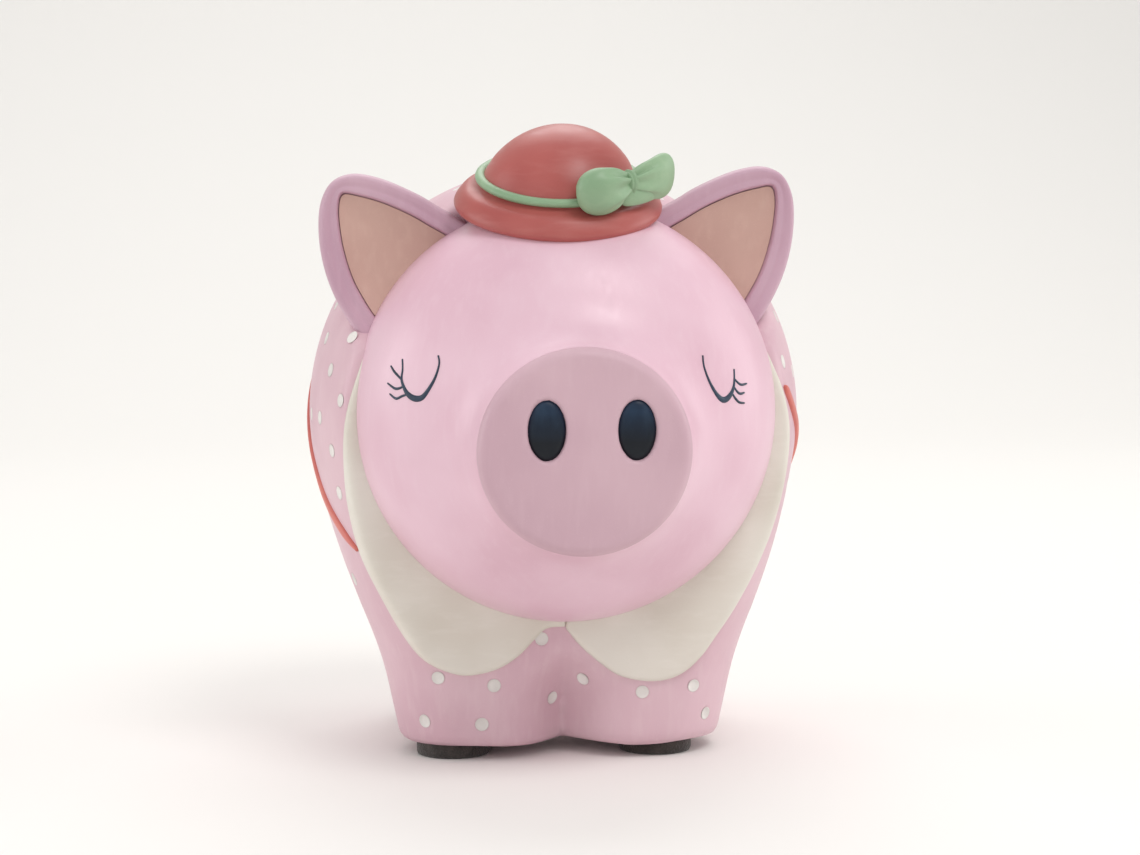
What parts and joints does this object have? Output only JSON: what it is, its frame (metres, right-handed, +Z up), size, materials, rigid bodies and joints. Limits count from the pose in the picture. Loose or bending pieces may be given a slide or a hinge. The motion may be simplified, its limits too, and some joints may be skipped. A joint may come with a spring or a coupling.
{
  "type": "piggy bank",
  "caption": "Round standing piggy bank in a dotted dress, with a collar, bowler hat with bow, shoulder bag, coin slot and belly stopper.",
  "frame": {"origin": "on the ground under the middle of the pig: the bottom centre of its bounding box", "axes": "+Z up; the pig looks along -Y; +X is the pig's own left side, where the bag hangs"},
  "size_m": [0.1373, 0.1545, 0.1719],
  "materials": {
    "dress": "satin",
    "skin": "satin",
    "snout": "satin",
    "navy": "satin",
    "ear_lining": "satin",
    "collar": "satin",
    "coral": "satin",
    "mint": "satin",
    "clasp": "satin",
    "felt": "matte",
    "stopper": "matte"
  },
  "bodies": {
    "pig": {"body_shell": "dress", "head_shell": "skin", "snout": "snout", "nostril_left": "navy", "nostril_right": "navy", "eye_left": "navy", "eye_right": "navy", "ear_left": "skin", "ear_right": "skin", "ear_lining_left": "ear_lining", "ear_lining_right": "ear_lining", "leg_front_left": "dress", "leg_front_right": "dress", "leg_hind_left": "dress", "leg_hind_right": "dress", "pad_front_left": "felt", "pad_front_right": "felt", "pad_hind_left": "felt", "pad_hind_right": "felt", "collar_left": "collar", "collar_right": "collar", "hat": "coral", "hat_band": "mint", "bow_loop_inner": "mint", "bow_loop_outer": "mint", "bow_knot": "mint", "bag_strap": "coral", "bag_body": "coral", "bag_flap": "coral", "bag_clasp": "clasp", "tail": "skin"},
    "stopper": {"stopper": "stopper"}
  },
  "joints": [
    {"name": "stopper_pull", "type": "slide", "parent": "pig", "child": "stopper", "axis": [0, 0, -1], "range_m": [0, 0.02]}
  ]
}
